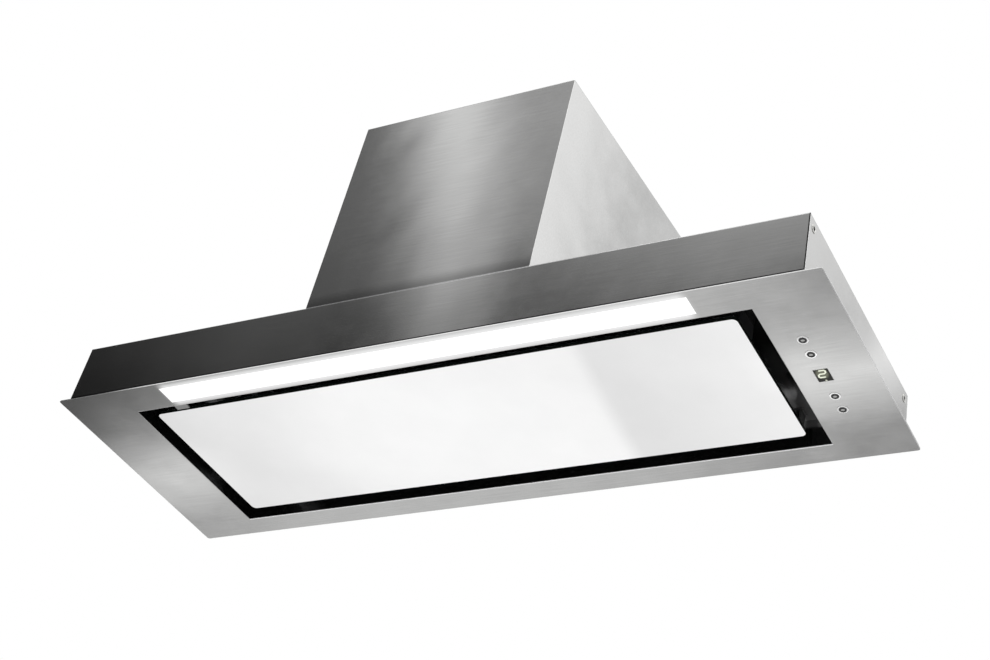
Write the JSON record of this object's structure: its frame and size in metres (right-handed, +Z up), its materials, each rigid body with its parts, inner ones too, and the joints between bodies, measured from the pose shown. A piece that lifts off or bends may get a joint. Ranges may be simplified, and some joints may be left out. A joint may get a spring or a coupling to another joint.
{
  "type": "built-in range hood",
  "caption": "Built-in range hood with a flat stainless face plate, hinged white glass panel, strip lamp, push buttons, shallow tray and tall blower housing with a round duct collar.",
  "frame": {"origin": "centre of the face plate's underside", "axes": "+X to the right, seen from the front, towards the controls; +Y from the front edge with the lamp to the rear; +Z up towards the duct"},
  "size_m": [0.9, 0.2922, 0.3881],
  "materials": {
    "stainless": "long-grain brushed stainless",
    "black_sheet": "gloss black powder coat",
    "spring_steel": "bright",
    "galvanised": "zinc-coated",
    "black_plastic": "fine grain",
    "white_glass": "tempered, white behind",
    "aluminium": "mill",
    "white_board": "solder mask",
    "opal": "opal, lit from behind",
    "white_plastic": "fine grain",
    "green_board": "solder mask",
    "smoked_lens": "polished",
    "bezel_chrome": "polished",
    "motor_paint": "satin",
    "grey_plastic": "fine grain",
    "zinc_screw": "zinc-coated"
  },
  "bodies": {
    "hood": {"face_plate": "stainless", "body_shell": "stainless", "front_fascia": "stainless", "intake_frame": "black_sheet", "filter_clips": "spring_steel", "hinge_brackets": "galvanised", "hinge_pins": "spring_steel", "panel_catches": "black_plastic", "lamp_profile": "aluminium", "lamp_board": "white_board", "lamp_diffuser": "opal", "lamp_driver": "white_plastic", "control_box": "black_plastic", "control_board": "green_board", "tactile_switches": "black_plastic", "display_module": "black_plastic", "display_lens": "smoked_lens", "button_bezels": "bezel_chrome", "housing_cover": "stainless", "housing_back": "stainless", "housing_top": "stainless", "scroll_wrap": "galvanised", "scroll_side_left": "galvanised", "scroll_side_right": "galvanised", "motor_case": "motor_paint", "motor_bracket": "galvanised", "capacitor": "white_plastic", "duct_collar": "grey_plastic", "flap_pin": "spring_steel", "terminal_box": "white_plastic", "terminal_cover": "white_plastic", "terminal_block": "white_plastic", "cable_gland": "black_plastic", "collar_screws": "zinc_screw", "back_screws": "zinc_screw", "bracket_screws": "zinc_screw", "housing_screws": "zinc_screw"},
    "panel": {"glass_panel": "white_glass", "panel_pan": "black_sheet", "hinge_arms": "galvanised", "panel_strikes": "galvanised"},
    "filter_left": {"filter_left_frame": "aluminium", "filter_left_mesh": "aluminium", "filter_left_pull": "spring_steel"},
    "filter_right": {"filter_right_frame": "aluminium", "filter_right_mesh": "aluminium", "filter_right_pull": "spring_steel"},
    "button_1": {"button_1": "black_plastic"},
    "button_2": {"button_2": "black_plastic"},
    "button_3": {"button_3": "black_plastic"},
    "button_4": {"button_4": "black_plastic"},
    "front_flap": {"front_flap": "grey_plastic"},
    "rear_flap": {"rear_flap": "grey_plastic"},
    "impeller": {"impeller": "galvanised", "motor_shaft": "spring_steel"}
  },
  "joints": [
    {"name": "panel_swing", "type": "hinge", "parent": "hood", "child": "panel", "pos_m": [0, 0.098, 0.012], "axis": [1, 0, 0], "range_deg": [0, 90]},
    {"name": "filter_left_tilt", "type": "hinge", "parent": "hood", "child": "filter_left", "pos_m": [0, 0.1, 0.0353], "axis": [1, 0, 0], "range_deg": [0, 32]},
    {"name": "filter_right_tilt", "type": "hinge", "parent": "hood", "child": "filter_right", "pos_m": [0, 0.1, 0.0353], "axis": [1, 0, 0], "range_deg": [0, 32]},
    {"name": "button_1_press", "type": "slide", "parent": "hood", "child": "button_1", "axis": [0, 0, 1], "range_m": [0, 0.0012], "stiffness_N_per_m": 1000},
    {"name": "button_2_press", "type": "slide", "parent": "hood", "child": "button_2", "axis": [0, 0, 1], "range_m": [0, 0.0012], "stiffness_N_per_m": 1000},
    {"name": "button_3_press", "type": "slide", "parent": "hood", "child": "button_3", "axis": [0, 0, 1], "range_m": [0, 0.0012], "stiffness_N_per_m": 1000},
    {"name": "button_4_press", "type": "slide", "parent": "hood", "child": "button_4", "axis": [0, 0, 1], "range_m": [0, 0.0012], "stiffness_N_per_m": 1000},
    {"name": "front_flap_swing", "type": "hinge", "parent": "hood", "child": "front_flap", "pos_m": [0, 0.04525, 0.3502], "axis": [-1, 0, 0], "range_deg": [0, 80]},
    {"name": "rear_flap_swing", "type": "hinge", "parent": "hood", "child": "rear_flap", "pos_m": [0, 0.04525, 0.3502], "axis": [1, 0, 0], "range_deg": [0, 80]},
    {"name": "impeller_spin", "type": "hinge", "parent": "hood", "child": "impeller", "pos_m": [0, -0.03, 0.1902], "axis": [1, 0, 0], "continuous": true}
  ],
  "couplings": [
    {"joint": "filter_left_tilt", "follows": "panel_swing", "ratio": 0.35},
    {"joint": "filter_right_tilt", "follows": "panel_swing", "ratio": 0.35}
  ]
}
